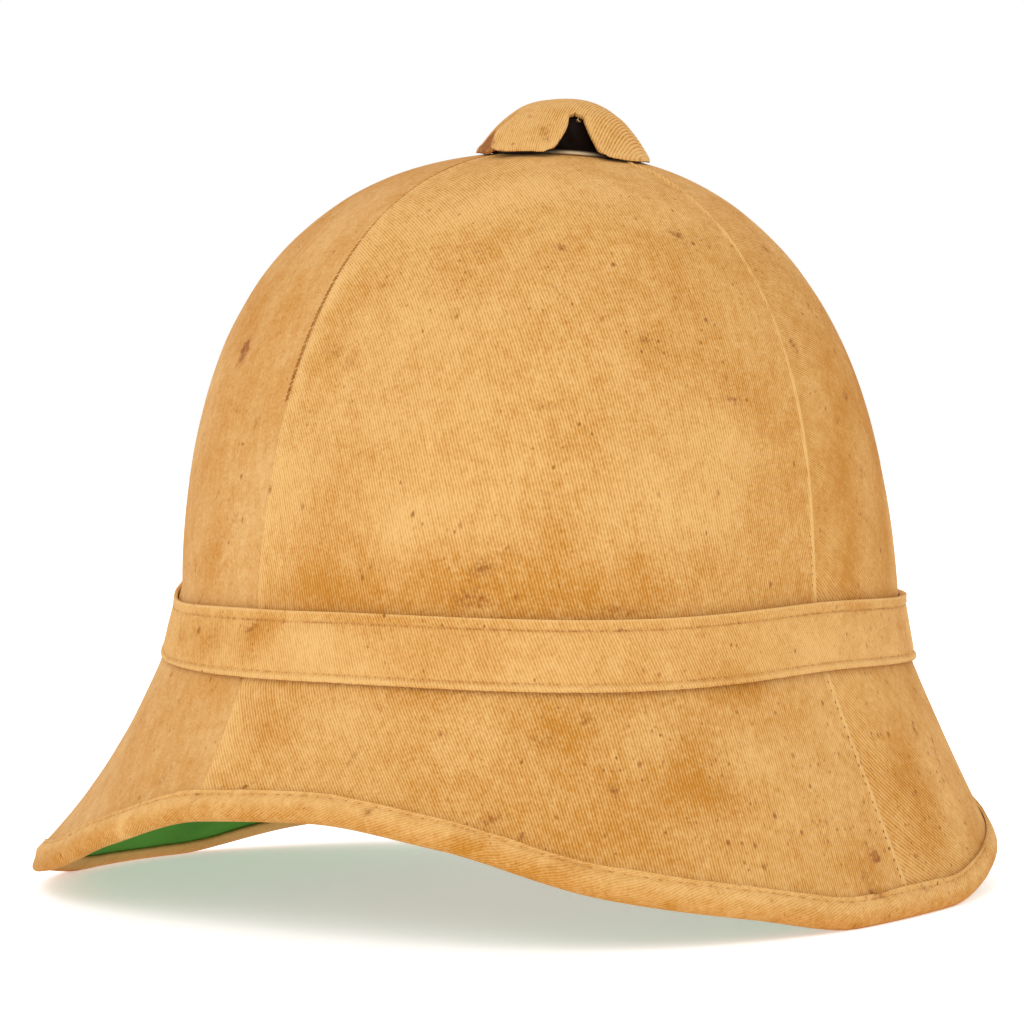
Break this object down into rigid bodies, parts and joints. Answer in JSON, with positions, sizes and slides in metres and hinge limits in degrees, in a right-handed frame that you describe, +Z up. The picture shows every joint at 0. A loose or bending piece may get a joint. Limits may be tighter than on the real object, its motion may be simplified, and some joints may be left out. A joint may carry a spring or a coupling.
{
  "type": "pith helmet",
  "caption": "Cloth-covered pith helmet with a stitched band, a bound brim that dips front and back, and a petalled cap over its crown vent",
  "frame": {"origin": "under the middle of the helmet, on the surface it rests on", "axes": "+Z up; the wearer looks along -Y, so the peak points to -Y; the wearer's left hand is at +X"},
  "size_m": [0.258, 0.3242, 0.2481],
  "materials": {
    "raw_pith": "matt, soft, dusty",
    "tan_drill": "worn cotton drill, fine diagonal ribs, stained",
    "tan_twill": "worn cotton twill, stitched hems",
    "green_cotton": "plain matt cotton",
    "pale_tin": "dull enamel"
  },
  "bodies": {
    "root": {"pith_shell": "raw_pith", "cover_front_left": "tan_drill", "cover_front_right": "tan_drill", "cover_back_left": "tan_drill", "cover_back_right": "tan_drill", "brim_lining": "green_cotton", "hat_band": "tan_twill", "edge_binding": "tan_twill", "vent_collar": "pale_tin", "vent_cap": "tan_twill"}
  },
  "joints": []
}
